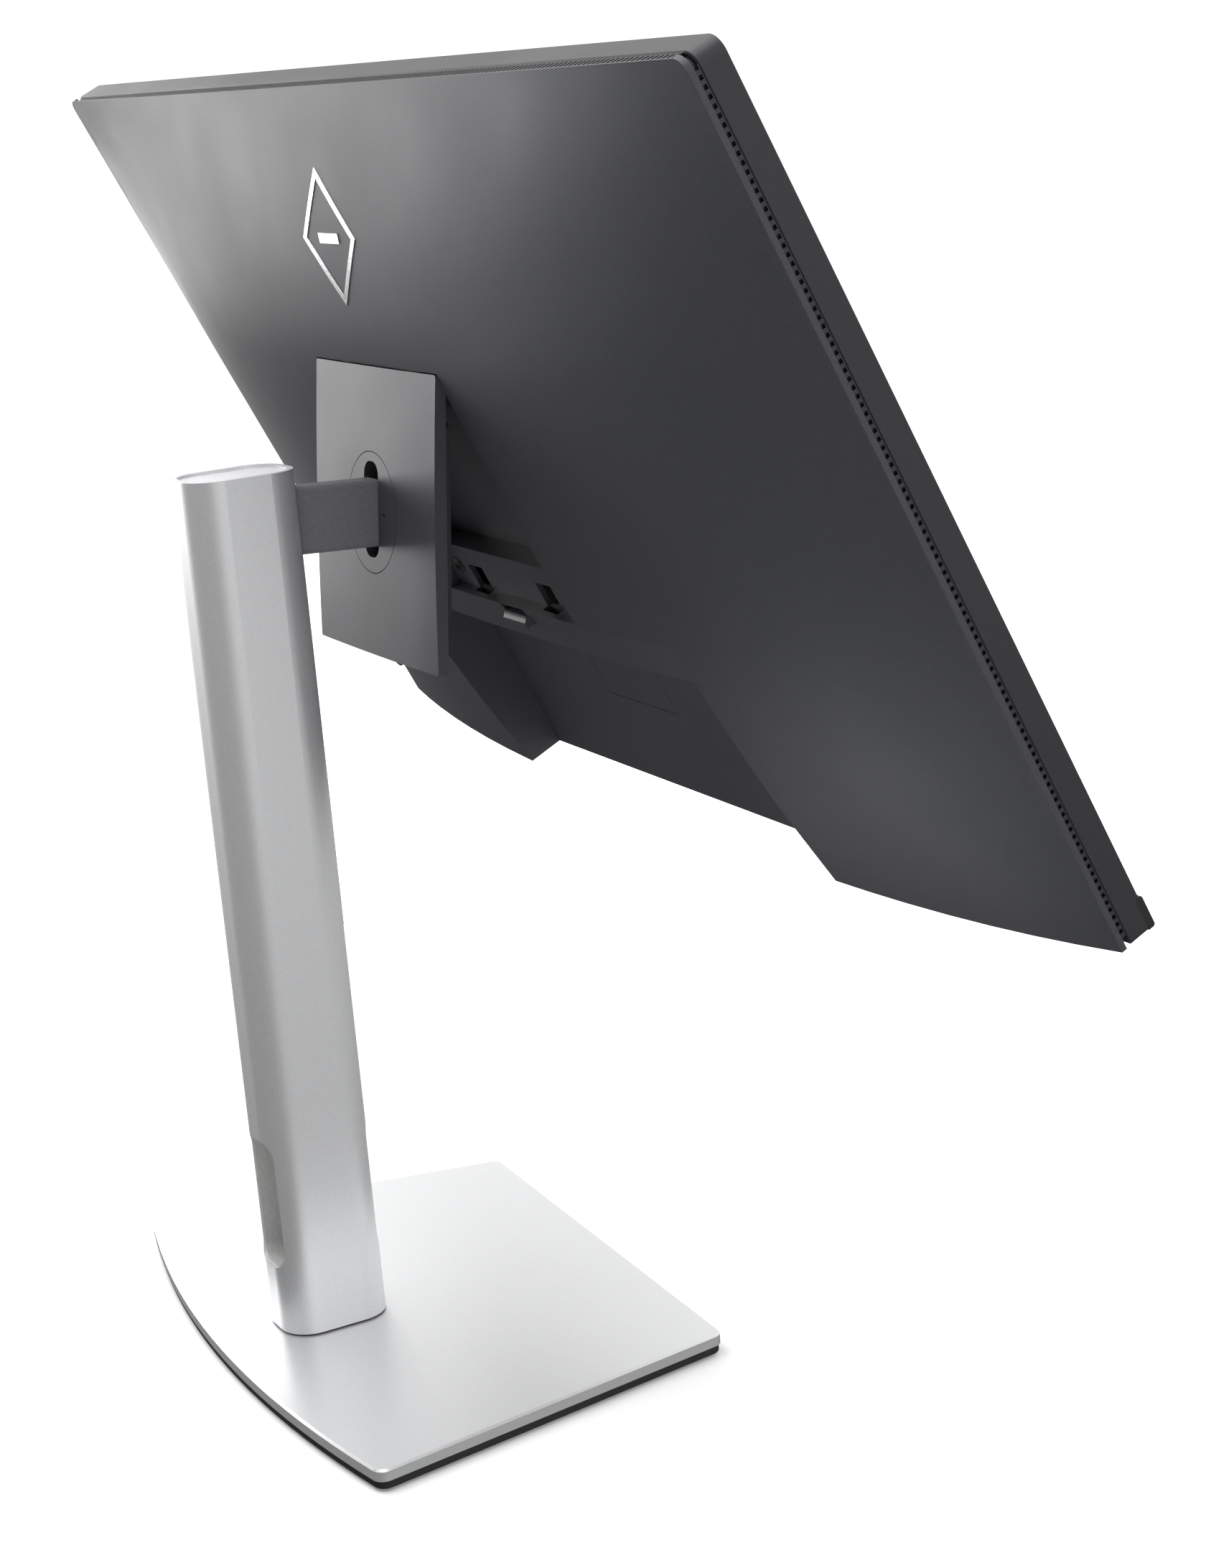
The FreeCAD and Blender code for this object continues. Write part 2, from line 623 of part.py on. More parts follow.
def facet_wire(w, drop, half):
    """Closed profile in the plane z = -w above the arch lowered by drop."""
    height = arch_height(w)
    steps = 12
    pts = []
    for k in range(steps + 1):
        x = -half + 2 * half * k / steps
        pts.append(V(x, arch_level(x, height) - drop, -w))
    curve = Part.BSplineCurve()
    curve.interpolate(pts)
    top = BACK_LEVEL + 12.0
    a = V(-half, top, -w)
    b = V(half, top, -w)
    edges = [curve.toShape(), Part.makeLine(pts[-1], b), Part.makeLine(b, a)]
    edges.append(Part.makeLine(a, pts[0]))
    return Part.Wire(edges)


def facet_block(sink, half):
    """Everything above the slanted facet between the recess and the port niche."""
    upper = facet_wire(RECESS_W1, FACET_STEP + sink, half)
    lower = facet_wire(NICHE_W0 + 1.0, FACET_DROP + sink, half)
    return Part.makeLoft([upper, lower], True, True)


def niche_void():
    return wbox(-NICHE_HALF, NICHE_HALF, NICHE_FLOOR, 60.0, NICHE_W0, HEIGHT + 5)


PORTS = (("power", 104.0, 24.6, 17.0), ("hdmi", 66.0, 15.4, 6.0), ("video_in", 42.0, 17.0, 6.4),
         ("video_out", 16.0, 17.0, 6.4), ("type_c", -6.0, 9.6, 4.4), ("serial_a", -24.0, 14.0, 7.0),
         ("serial_b", -44.0, 14.0, 7.0), ("serial_c", -64.0, 14.0, 7.0), ("serial_d", -84.0, 14.0, 7.0),
         ("network", -106.0, 16.4, 13.6), ("audio", -126.0, 7.0, 7.0))
PORT_BASE_Y = 5.0
BOARD_Y0 = 2.6
BOARD_Y1 = 4.2
BOARD_EDGE_W = NICHE_W0 - 3.4


def port_span(entry):
    name, x, width, height = entry
    return x - width / 2, x + width / 2, PORT_BASE_Y, PORT_BASE_Y + height


def port_cut(entry):
    x0, x1, y0, y1 = port_span(entry)
    return wbox(x0 - 0.25, x1 + 0.25, y0 - 0.25, y1 + 0.25, NICHE_W0 - 6.0, NICHE_W0 + 1)


SERVICE_X0 = -24.0
SERVICE_X1 = 39.0
SERVICE_W0 = 262.0
SERVICE_W1 = 307.0
JOY_X = 272.0
JOY_W = 322.0
POWER_X = 285.0
BUTTON_HALF = 10.5
BUTTON_W0 = RECESS_W1 + 3.7
LATCH_TRAVEL = 3.0
BOLT_TIP_W = HOOK_W + PLATE_H - 0.3
TAB_V0 = PLATE_H - 8.4
TAB_V1 = PLATE_H - 2.4
TAB_Y0 = FLANGE_Y0 - 5.9
TAB_T = 1.4
BUTTON_W1 = BUTTON_W0 + 5.5
JOY_HOLE_R = 9.0
JOY_BALL_R = 4.0
POWER_LEVEL = 0.3
VENT_PITCH = 3.3
VENT_SLANT = 1.6
VENT_LIP = 0.7


def cover_core():
    """Places the cover keeps solid around the recess, the hooks, the facet and the niche."""
    tub = wbox(-RECESS_HALF - 2.2, RECESS_HALF + 2.2, RECESS_FLOOR - 2.2, 44.0,
               RECESS_W0 - 2.2, RECESS_W1 + 2.2)
    hook_bay = wbox(-HOOK_X - 10, HOOK_X + 10, BACK_LEVEL - 12.0, 44.0, RECESS_W0 - 8.0, RECESS_W0)
    niche = wbox(-NICHE_HALF - 2.2, NICHE_HALF + 2.2, NICHE_FLOOR - 2.2, 40.0,
                 NICHE_W0 - 2.2, HEIGHT)
    return fuse_all([tub, hook_bay, niche, facet_block(COVER_WALL, NICHE_HALF + 2.2)])


def corner_void(side):
    """What the round upper corner of the case takes off the back."""
    centre = HALF_W - RIM_R + 0.05
    x0 = min(side * centre, side * (HALF_W + 2))
    x1 = max(side * centre, side * (HALF_W + 2))
    block = wbox(x0, x1, COVER_Y0 - 4.0, 10.0, -2.0, RIM_R - 0.05)
    return block.cut(cyl(RIM_R, side * centre, COVER_Y0 - 5.0, -RIM_R + 0.05, Y_AXIS, 20.0))


def cover_tongue():
    """Thin wall that reaches from the cover into the rim."""
    y0 = COVER_Y0 - TONGUE_REACH
    y1 = COVER_Y0 + 1.0
    outer = rim_prism(TONGUE_INSET, RIM_R - TONGUE_INSET + 0.2, 1.0, y0, y1)
    inset = TONGUE_INSET + TONGUE_T
    return outer.cut(wbox(-HALF_W + inset, HALF_W - inset, y0 - 1.0, y1 + 1.0, inset, HEIGHT - inset))


def cover_shell():
    shell = cut_all(arch_solid(0.0), [corner_void(-1), corner_void(1)])
    inner = arch_solid(COVER_WALL)
    hole = wbox(-HALF_W + 4.4, HALF_W - 4.4, -20, COVER_Y0 + 0.01, 4.4, HEIGHT - 4.4)
    cavity = inner.cut(cover_core().common(shell)).fuse(hole)
    return shell.cut(cavity).fuse(cover_tongue())


def cover_head_cuts():
    """Openings for the stand head: recess, ledges, hook slots, latch slots, screw holes."""
    cuts = [recess_void()]
    for w0, w1 in ((RECESS_W0, LEDGE_W0 - 2.2), (LEDGE_W1 + 2.2, RECESS_W1)):
        cuts.append(wbox(-RECESS_HALF, RECESS_HALF, 10.0, LEDGE_LEVEL - 2.3, w0, w1))
    for x in (-HOOK_X, HOOK_X):
        cuts.append(wbox(x - 7.5, x + 7.5, BACK_LEVEL - 10.0, BACK_LEVEL - 2.4,
                         RECESS_W0 - 6.0, RECESS_W0 + 2.2))
        cuts.append(wbox(x - 7.0, x + 7.0, BACK_LEVEL - 12.0, BACK_LEVEL - 3.0,
                         RECESS_W1 - 12.0, RECESS_W1 + 3.0))
    for x in (-VESA_HALF, VESA_HALF):
        for w in (VESA_W - VESA_HALF, VESA_W + VESA_HALF):
            cuts.append(cyl(2.3, x, 10.0, -w, Y_AXIS, 30.0))
    cuts.append(wbox(-BUTTON_HALF - 0.4, BUTTON_HALF + 0.4, BACK_LEVEL - 17.0, 50.0,
                     BUTTON_W0 - LATCH_TRAVEL - 0.35, BUTTON_W1 + 0.5))
    return cuts


def cover_port_cuts():
    """Openings of the port niche and the controls."""
    cuts = [niche_void()]
    for entry in PORTS:
        cuts.append(port_cut(entry))
    cuts.append(wbox(SERVICE_X0 - 0.35, SERVICE_X1 + 0.35, NICHE_FLOOR - 1.2, NICHE_FLOOR + 1,
                     SERVICE_W0 - 0.35, SERVICE_W1 + 0.35))
    cuts.append(cyl(JOY_HOLE_R, JOY_X, -1.0, -JOY_W, Y_AXIS, 30.0))
    cuts.append(wbox(POWER_X - 5.4, POWER_X + 5.4, POWER_LEVEL - 1.9, POWER_LEVEL + 1.9,
                     HEIGHT - 7.0, HEIGHT + 2))
    cuts.append(wbox(-152.0, -148.6, 4.2, 11.4, HEIGHT - 4.0, HEIGHT + 2))
    return cuts


def vent_curve(margin, half):
    """Points across the top face that follow the arch, lowered by a margin."""
    steps = 24
    pts = []
    for k in range(steps + 1):
        x = half - 2 * half * k / steps
        pts.append((x, arch_level(x, EDGE_RISE) - margin))
    return pts


def vent_void():
    """Opening along the top edge that the slatted strip closes."""
    half = HALF_W - 6.0
    pts = [(-half, COVER_Y0 - 4.0), (half, COVER_Y0 - 4.0)] + vent_curve(VENT_LIP, half)
    verts = [V(x, y, -5.0) for x, y in pts]
    face = Part.Face(Part.makePolygon(verts + verts[:1]))
    return face.extrude(V(0, 0, 6.0))


def make_rear_cover():
    cover = cut_all(cover_shell(), cover_head_cuts())
    cover = cut_all(cover, cover_port_cuts())
    return cut_all(cover, [facet_block(0.0, NICHE_HALF), vent_void()])


def make_service_cover():
    return wbox(SERVICE_X0, SERVICE_X1, NICHE_FLOOR - 1.15, NICHE_FLOOR, SERVICE_W0, SERVICE_W1)


def comb_points(x0, x1, z0, tip, pitch, duty, slant, spine):
    """Comb outline: a spine along x from z0, with slanted teeth up to tip(x)."""
    pts = [(x0, z0), (x1, z0)]
    count = int((x1 - x0) / pitch)
    for k in range(count, 0, -1):
        right = x0 + k * pitch
        left = right - pitch * duty
        pts.append((right, z0 + spine))
        pts.append((right + slant, tip(right)))
        pts.append((left + slant, tip(left)))
        pts.append((left, z0 + spine))
    pts.append((x0, z0 + spine))
    return pts


def make_top_vent():
    """Slatted strip closing the gap along the top edge of the rear cover."""
    x0 = -HALF_W + 6.4
    x1 = HALF_W - 9.6

    def tip(x):
        return arch_level(x, EDGE_RISE) - VENT_LIP - 0.12

    pts = comb_points(x0, x1, RIM_BACK_Y + 0.06, tip, VENT_PITCH, 0.5, VENT_SLANT, 0.5)
    verts = [V(x, y, -2.0) for x, y in pts]
    face = Part.Face(Part.makePolygon(verts + verts[:1]))
    return face.extrude(V(0, 0, 1.5))


def make_side_vents():
    strips = []
    for side in (-1, 1):
        pts = comb_points(4.5, HEIGHT - 4.5, RIM_BACK_Y + 0.02, lambda w: COVER_Y0 - 0.02,
                          VENT_PITCH, 0.5, 0.0, 0.35)
        x0 = side * (HALF_W - 1.2)
        verts = [V(x0, y, -w) for w, y in pts]
        face = Part.Face(Part.makePolygon(verts + verts[:1]))
        strips.append(face.extrude(V(side * 0.9, 0, 0)))
    return strips


def make_mid_frame():
    outer = rim_prism(0.0, RIM_R, RIM_LOW_R, RIM_FRONT_Y, RIM_BACK_Y)
    rear = [e for e in outer.Edges if e.BoundBox.YMin > RIM_BACK_Y - 0.01]
    outer = outer.makeChamfer(0.5, rear)
    bore = rim_prism(RIM_WALL, RIM_R - 1.6, RIM_LOW_R / 2, -30.0, 10.0)
    lip = wbox(-HALF_W + 0.5, HALF_W - 0.5, -13.5, -12.7, 0.5, HEIGHT - 0.5)
    lip = lip.cut(wbox(-HALF_W + 5.2, HALF_W - 5.2, -20, 0, 5.2, CHIN_TOP_W - 3.0))
    ring = fuse_all([outer.cut(bore), lip.common(outer)])
    chin = wbox(-HALF_W - 1, HALF_W + 1, -20, -13.5, CHIN_TOP_W, HEIGHT + 1)
    tail = wbox(-HALF_W + RIM_WALL + 1, HALF_W - RIM_WALL - 1, -12.8, RIM_BACK_Y - 2.6,
                HEIGHT - 8.0, HEIGHT - RIM_WALL)
    key = wbox(POWER_X - 5.4, POWER_X + 5.4, -20, 20, HEIGHT - 12.0, HEIGHT - RIM_WALL - 0.01)
    return cut_all(fuse_all([ring, tail]).cut(key), [chin])


def make_chin_bezel():
    bar = wbox(-HALF_W, HALF_W, CHIN_FRONT_Y, -13.52, CHIN_TOP_W + 0.05, HEIGHT)
    edges = []
    for e in bar.Edges:
        if e.BoundBox.YMax < CHIN_FRONT_Y + 0.01 and e.Length > 100:
            edges.append(e)
    bar = bar.makeChamfer(0.7, edges)
    return bar.cut(cyl(0.8, POWER_X - 18.0, -20, -HEIGHT + 5.0, Y_AXIS, 20.0))


def make_status_light():
    return cyl(0.75, POWER_X - 18.0, CHIN_FRONT_Y + 0.1, -HEIGHT + 5.0, Y_AXIS, 3.0)


def make_lcd_glass():
    return rounded_prism_y(-HALF_W + 2.0, HALF_W - 2.0, -CHIN_TOP_W + 0.1, -2.0, 4.4, -15.1, -13.6)


def make_diffuser_stack():
    return wbox(-HALF_W + 4.2, HALF_W - 4.2, -12.6, -11.75, 4.2, CHIN_TOP_W - 1.6)


def make_light_guide():
    plate = wbox(-HALF_W + 5.0, HALF_W - 5.0, -11.7, -9.3, 5.0, CHIN_TOP_W - 1.9)
    return plate


def make_led_bar():
    w0 = CHIN_TOP_W + 0.6
    strip = wbox(-296.0, 296.0, -11.7, -9.3, w0, w0 + 1.4)
    leds = []
    for k in range(60):
        x = -290.0 + k * 580.0 / 59
        leds.append(wbox(x - 1.8, x + 1.8, -11.3, -9.8, w0 - 1.0, w0))
    return fuse_all([strip] + leds)


def make_chassis_pan():
    outer = wbox(-HALF_W + 3.2, HALF_W - 3.2, -12.5, -8.1, 3.2, CHIN_TOP_W + 3.4)
    inner = wbox(-HALF_W + 4.0, HALF_W - 4.0, -14.0, -9.1, 4.0, CHIN_TOP_W + 2.6)
    pan = outer.cut(inner)
    holes = []
    for x in (-240.0, -120.0, 120.0, 240.0):
        for w in (60.0, 300.0):
            holes.append(cyl(5.0, x, -9.6, -w, Y_AXIS, 4.0))
    ribs = []
    for x in (-200.0, 200.0):
        ribs.append(wbox(x - 6, x + 6, -8.2, -6.6, 30.0, 320.0))
    return cut_all(fuse_all([pan] + ribs), holes)


BRACKET_W0 = HOOK_W + 2.0
BRACKET_W1 = HOOK_W + 118.0


def make_vesa_bracket():
    top = RECESS_FLOOR - 2.3
    pieces = [wbox(-62.0, 62.0, top - 1.5, top, BRACKET_W0, BRACKET_W1)]
    pieces.append(wbox(-62.0, 62.0, -6.5, top, BRACKET_W0, BRACKET_W0 + 1.5))
    pieces.append(wbox(-62.0, 62.0, -6.5, top, BRACKET_W1 - 1.5, BRACKET_W1))
    for x in (-VESA_HALF, VESA_HALF):
        for w in (VESA_W - VESA_HALF, VESA_W + VESA_HALF):
            pieces.append(cyl(5.0, x, top - 1.5, -w, Y_AXIS, LEDGE_LEVEL - 0.8 - top))
    body = fuse_all(pieces)
    bores = []
    for x in (-VESA_HALF, VESA_HALF):
        for w in (VESA_W - VESA_HALF, VESA_W + VESA_HALF):
            bores.append(cyl(VESA_R, x, 10.0, -w, Y_AXIS, 30.0))
    return cut_all(body, bores)


def make_vesa_screws():
    screws = []
    for x in (-VESA_HALF, VESA_HALF):
        for w in (VESA_W - VESA_HALF, VESA_W + VESA_HALF):
            head = cyl(3.9, x, LEDGE_LEVEL, -w, Y_AXIS, 1.7)
            dome = Part.makeSphere(6.0, V(x, LEDGE_LEVEL - 4.3, -w))
            stem = cyl(1.95, x, 14.5, -w, Y_AXIS, LEDGE_LEVEL - 14.5)
            level = LEDGE_LEVEL + 0.7
            cross = [box(x - 2.2, x + 2.2, level, level + 3, -w - 0.4, -w + 0.4)]
            cross.append(box(x - 0.4, x + 0.4, level, level + 3, -w - 2.2, -w + 2.2))
            screws.append(cut_all(fuse_all([head.common(dome), stem]), cross))
    return screws


def make_main_board():
    board = wbox(-134.0, 122.0, BOARD_Y0, BOARD_Y1, 120.0, BOARD_EDGE_W)
    chips = [wbox(-30.0, 10.0, BOARD_Y1, BOARD_Y1 + 2.2, 160.0, 200.0)]
    chips.append(wbox(40.0, 56.0, BOARD_Y1, BOARD_Y1 + 1.4, 165.0, 181.0))
    chips.append(wbox(-100.0, -84.0, BOARD_Y1, BOARD_Y1 + 1.4, 170.0, 186.0))
    for k in range(5):
        x = -120.0 + 14.0 * k
        chips.append(cyl(3.2, x, BOARD_Y1, -140.0, Y_AXIS, 6.5))
    strap = wbox(-63.0, 63.0, BOARD_Y0 - 1, BOARD_Y1 + 1, BRACKET_W1 - 2.3, BRACKET_W1 + 0.8)
    return fuse_all([board.cut(strap)] + chips)


def make_power_board():
    board = wbox(150.0, 262.0, BOARD_Y0, BOARD_Y1, 90.0, 232.0)
    parts = [wbox(165.0, 195.0, BOARD_Y1, BOARD_Y1 + 14.0, 150.0, 186.0)]
    parts.append(wbox(208.0, 232.0, BOARD_Y1, BOARD_Y1 + 10.0, 110.0, 136.0))
    for x, w in ((175.0, 110.0), (190.0, 110.0), (215.0, 160.0), (215.0, 178.0)):
        parts.append(cyl(6.0, x, BOARD_Y1, -w, Y_AXIS, 12.0))
    parts.append(wbox(206.0, 209.0, BOARD_Y1, BOARD_Y1 + 10.0, 196.0, 224.0))
    return fuse_all([board] + parts)


def make_board_shield():
    outer = wbox(-42.0, 22.0, BOARD_Y1, BOARD_Y1 + 4.6, 150.0, 212.0)
    inner = wbox(-41.4, 21.4, BOARD_Y1 - 1, BOARD_Y1 + 4.0, 150.6, 211.4)
    shell = outer.cut(inner)
    holes = []
    for i in range(6):
        for j in range(6):
            holes.append(cyl(1.6, -34.0 + 9.6 * i, BOARD_Y1, -157.0 - 9.6 * j, Y_AXIS, 9.0))
    return cut_all(shell, holes)


def socket_shell(entry, wall, depth):
    x0, x1, y0, y1 = port_span(entry)
    outer = wbox(x0, x1, y0, y1, NICHE_W0 - 0.4 - depth - wall, NICHE_W0 - 0.4)
    inner = wbox(x0 + wall, x1 - wall, y0 + wall, y1 - wall, NICHE_W0 - 0.4 - depth, NICHE_W0 + 1)
    return outer, inner


def make_power_inlet():
    outer, inner = socket_shell(PORTS[0], 1.3, 15.0)
    shell = outer.cut(inner)
    pins = []
    for k in range(PIN_COUNT):
        x = PORTS[0][1] + (k - 1) * 7.0
        y = PORT_BASE_Y + 7.2 + (2.6 if k == 1 else 0.0)
        pins.append(wbox(x - 1.0, x + 1.0, y - 2.0, y + 2.0, NICHE_W0 - 16.5, NICHE_W0 - 7.5))
    return fuse_all([shell] + pins)


def make_tongue_socket(index, depth, tongue_t):
    entry = PORTS[index]
    outer, inner = socket_shell(entry, 0.5, depth)
    x0, x1, y0, y1 = port_span(entry)
    mid = (y0 + y1) / 2
    tongue = wbox(x0 + 1.6, x1 - 1.6, mid - tongue_t / 2, mid + tongue_t / 2,
                  NICHE_W0 - 0.9 - depth, NICHE_W0 - 2.6)
    return fuse_all([outer.cut(inner), tongue])


def make_serial_ports():
    ports = []
    for index in (5, 6, 7, 8):
        entry = PORTS[index]
        outer, inner = socket_shell(entry, 0.5, 12.0)
        x0, x1, y0, y1 = port_span(entry)
        tongue = wbox(x0 + 1.2, x1 - 1.2, y0 + 1.3, y0 + 3.1, NICHE_W0 - 13.4, NICHE_W0 - 2.2)
        ports.append(fuse_all([outer.cut(inner), tongue]))
    return ports


def make_network_port():
    outer, inner = socket_shell(PORTS[9], 1.2, 13.0)
    x0, x1, y0, y1 = port_span(PORTS[9])
    key = wbox(x0 + 1.0, x0 + 4.6, y0, y0 + 3.4, NICHE_W0 - 24.0, NICHE_W0 + 6.0)
    other = wbox(x1 - 4.6, x1 - 1.0, y0, y0 + 3.4, NICHE_W0 - 24.0, NICHE_W0 + 6.0)
    steps = fuse_all([key, other]).common(outer)
    return fuse_all([outer.cut(inner), steps])


def make_audio_port():
    entry = PORTS[10]
    x0, x1, y0, y1 = port_span(entry)
    body = wbox(x0, x1, y0, y1, NICHE_W0 - 12.4, NICHE_W0 - 0.4)
    cx = (x0 + x1) / 2
    cy = (y0 + y1) / 2
    return body.cut(cyl(1.8, cx, cy, -NICHE_W0, Z_AXIS, 11.0))


BADGE_X = 4.0
BADGE_W = 57.0
BADGE_HALF = 27.0


def make_badge():
    """Generic mark: a slim upright lozenge frame with one solid bar inside."""
    cx = BADGE_X
    cw = BADGE_W
    half = BADGE_HALF
    rise = BADGE_HALF
    outer = [(cx, -cw + rise), (cx + half, -cw), (cx, -cw - rise), (cx - half, -cw)]
    inner = []
    for x, z in outer:
        inner.append((cx + (x - cx) * 0.86, -cw + (z + cw) * 0.86))
    ring = prism_y(outer, 10.0, 60.0).cut(prism_y(inner, 9.0, 61.0))
    bar = box(cx - 10.0, cx + 10.0, 10.0, 60.0, -cw - 2.0, -cw + 2.0)
    skin = badge_skin()
    return [ring.common(skin), bar.common(skin)]


def badge_skin():
    upper = arch_solid(0.0)
    shifted = upper.copy()
    shifted.translate(V(0, 0.35, 0))
    return shifted.cut(upper)


def make_lock_slot():
    plate = wbox(-156.0, -145.0, 2.6, 13.0, HEIGHT - 6.6, HEIGHT - 4.2)
    return plate.cut(wbox(-151.9, -148.7, 4.3, 11.3, HEIGHT - 10.0, HEIGHT))


# ---------------------------------------------------------------- controls
def make_release_button():
    tab = wbox(-BUTTON_HALF, BUTTON_HALF, BACK_LEVEL - 8.0, BACK_LEVEL + 1.6, BUTTON_W0, BUTTON_W1)
    scoop = cyl(3.4, -20, BACK_LEVEL + 3.2, -BUTTON_W0 + 0.4, X_AXIS, 40.0)
    stem = wbox(-4.0, 4.0, BACK_LEVEL - 12.4, BACK_LEVEL - 7.0, BUTTON_W0, BUTTON_W1)
    return fuse_all([tab, stem]).cut(scoop)


def make_latch_bar():
    rear = BACK_LEVEL - 6.5
    low = BACK_LEVEL - 15.5
    pieces = [wbox(-44.0, 44.0, low, low + 3.0, BUTTON_W0 + 2.6, BUTTON_W1 + 1.4)]
    for x in (-HOOK_X, HOOK_X):
        pieces.append(wbox(x - 5.0, x + 5.0, low, rear, BUTTON_W0 + 1.9, BUTTON_W0 + 3.5))
        pieces.append(wbox(x - 5.0, x + 5.0, rear - 1.4, rear, BOLT_TIP_W, BUTTON_W0 + 3.5))
    return fuse_all(pieces)


def make_joystick_base():
    ring = cyl(JOY_BALL_R, JOY_X, -0.9, -JOY_W, Y_AXIS, 1.9)
    post = cyl(2.2, JOY_X, -0.9, -JOY_W, Y_AXIS, 3.3)
    return ring.fuse(post)


def make_joystick_cap():
    stem = cyl(2.4, JOY_X, 2.75, -JOY_W, Y_AXIS, 6.2)
    cap = cyl(4.4, JOY_X, 8.6, -JOY_W, Y_AXIS, 3.4)
    top = [e for e in cap.Edges if e.BoundBox.YMin > 11.9]
    return stem.fuse(cap.makeFillet(1.0, top))


def make_power_button():
    body = wbox(POWER_X - 5.0, POWER_X + 5.0, POWER_LEVEL - 1.5, POWER_LEVEL + 1.5,
                HEIGHT - 5.0, HEIGHT + 1.0)
    rim = [e for e in body.Edges if e.BoundBox.ZMax < -HEIGHT - 0.9]
    return body.makeFillet(0.5, rim)


def make_control_board():
    board = wbox(252.0, 298.0, -3.4, -1.8, 306.0, HEIGHT - 8.0)
    switch = wbox(POWER_X - 3.0, POWER_X + 3.0, -1.8, 0.3, HEIGHT - 13.0, HEIGHT - 8.4)
    return board.fuse(switch)


def stand_nodes():
    base = {"base_top": make_base_top(), "base_pan": make_base_pan(),
            "base_ballast": make_base_ballast()}
    nodes = {name: on_base(shape) for name, shape in base.items()}
    nodes["base_feet"] = [on_base(pad) for pad in make_base_feet()]
    nodes["swivel_bushing"] = make_swivel_bushing()
    nodes["swivel_shaft"] = make_swivel_shaft()
    nodes["swivel_retainer"] = make_swivel_retainer()
    nodes["base_thumbscrew"] = make_base_thumbscrew()
    nodes["column"] = make_column()
    nodes["column_cap"] = make_column_cap()
    nodes["cable_liner"] = make_cable_liner()
    nodes["slot_lining"] = make_slot_lining()
    nodes["lift_rail"] = make_lift_rail()
    nodes["spring_band"] = make_spring_band()
    nodes["lift_carriage"] = make_lift_carriage()
    nodes["carriage_pads"] = make_carriage_pads()
    nodes["drum_axle"] = make_drum_axle()
    nodes["spring_drum"] = make_spring_drum()
    nodes["arm"] = make_arm()
    nodes["arm_core"] = make_arm_core()
    return nodes


def head_nodes():
    nodes = {"pivot_disc": make_pivot_disc(), "tilt_retainer": make_tilt_retainer(),
             "tilt_pin": make_tilt_pin(), "plate_cover": make_plate_cover(),
             "plate_frame": make_plate_frame(), "plate_inner": make_plate_inner()}
    nodes = {name: on_plate(shape) for name, shape in nodes.items()}
    nodes["tilt_washers"] = [on_plate(ring) for ring in make_tilt_washers()]
    nodes["plate_screws"] = [on_plate(screw) for screw in make_plate_screws()]
    return nodes


def case_nodes():
    return {
        "rear_cover": make_rear_cover(),
        "service_cover": make_service_cover(),
        "top_vent": make_top_vent(),
        "side_vents": make_side_vents(),
        "mid_frame": make_mid_frame(),
        "chin_bezel": make_chin_bezel(),
        "status_light": make_status_light(),
        "badge": make_badge(),
        "lock_slot": make_lock_slot(),
        "release_button": make_release_button(),
        "latch_bar": make_latch_bar(),
        "joystick_base": make_joystick_base(),
        "joystick_cap": make_joystick_cap(),
        "power_button": make_power_button(),
    }


def inside_nodes():
    return {
        "lcd_glass": make_lcd_glass(),
        "diffuser_stack": make_diffuser_stack(),
        "light_guide": make_light_guide(),
        "led_bar": make_led_bar(),
        "chassis_pan": make_chassis_pan(),
        "vesa_bracket": make_vesa_bracket(),
        "vesa_screws": make_vesa_screws(),
        "main_board": make_main_board(),
        "power_board": make_power_board(),
        "board_shield": make_board_shield(),
        "control_board": make_control_board(),
    }


def port_nodes():
    return {
        "port_power": make_power_inlet(),
        "port_video_a": make_tongue_socket(1, 11.0, 1.2),
        "port_video_b": [make_tongue_socket(2, 11.0, 1.4), make_tongue_socket(3, 11.0, 1.4)],
        "port_type_c": make_tongue_socket(4, 8.0, 0.8),
        "port_serial": make_serial_ports(),
        "port_network": make_network_port(),
        "port_audio": make_audio_port(),
    }


def display_piece(shape):
    if isinstance(shape, list):
        return [on_display(one) for one in shape]
    return on_display(shape)


def main():
    os.makedirs("parts", exist_ok=True)
    nodes = stand_nodes()
    nodes.update(head_nodes())
    for group in (case_nodes(), inside_nodes(), port_nodes()):
        for node, shape in group.items():
            nodes[node] = display_piece(shape)
    for node, shape in nodes.items():
        save(shape, node)


main()
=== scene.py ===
"""Looks of a desktop monitor on a height-adjustable stand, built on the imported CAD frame.

Units are metres. X runs across the screen, the screen faces -Y, Z is up and the desk is at Z = 0.
Each finish is a procedural material whose colour, roughness and relief vary over the surface.
Texture scales are in cells per metre.
"""
import json
import math

import bpy
from mathutils import Matrix, Vector


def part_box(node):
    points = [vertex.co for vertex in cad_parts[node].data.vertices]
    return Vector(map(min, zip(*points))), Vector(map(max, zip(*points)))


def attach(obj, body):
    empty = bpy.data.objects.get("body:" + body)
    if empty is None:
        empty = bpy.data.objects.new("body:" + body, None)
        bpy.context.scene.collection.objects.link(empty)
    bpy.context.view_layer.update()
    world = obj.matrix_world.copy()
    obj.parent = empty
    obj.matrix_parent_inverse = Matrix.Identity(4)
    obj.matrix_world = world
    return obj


MM = 0.001

# ---- camera: place, aim in degrees and focal length ----
CAMERA_AT = Vector((-1.0996, 0.3961, 0.5325))
CAMERA_YAW = 63.405
CAMERA_PITCH = 14.368
CAMERA_ROLL = -4.932
LENS = 66.38

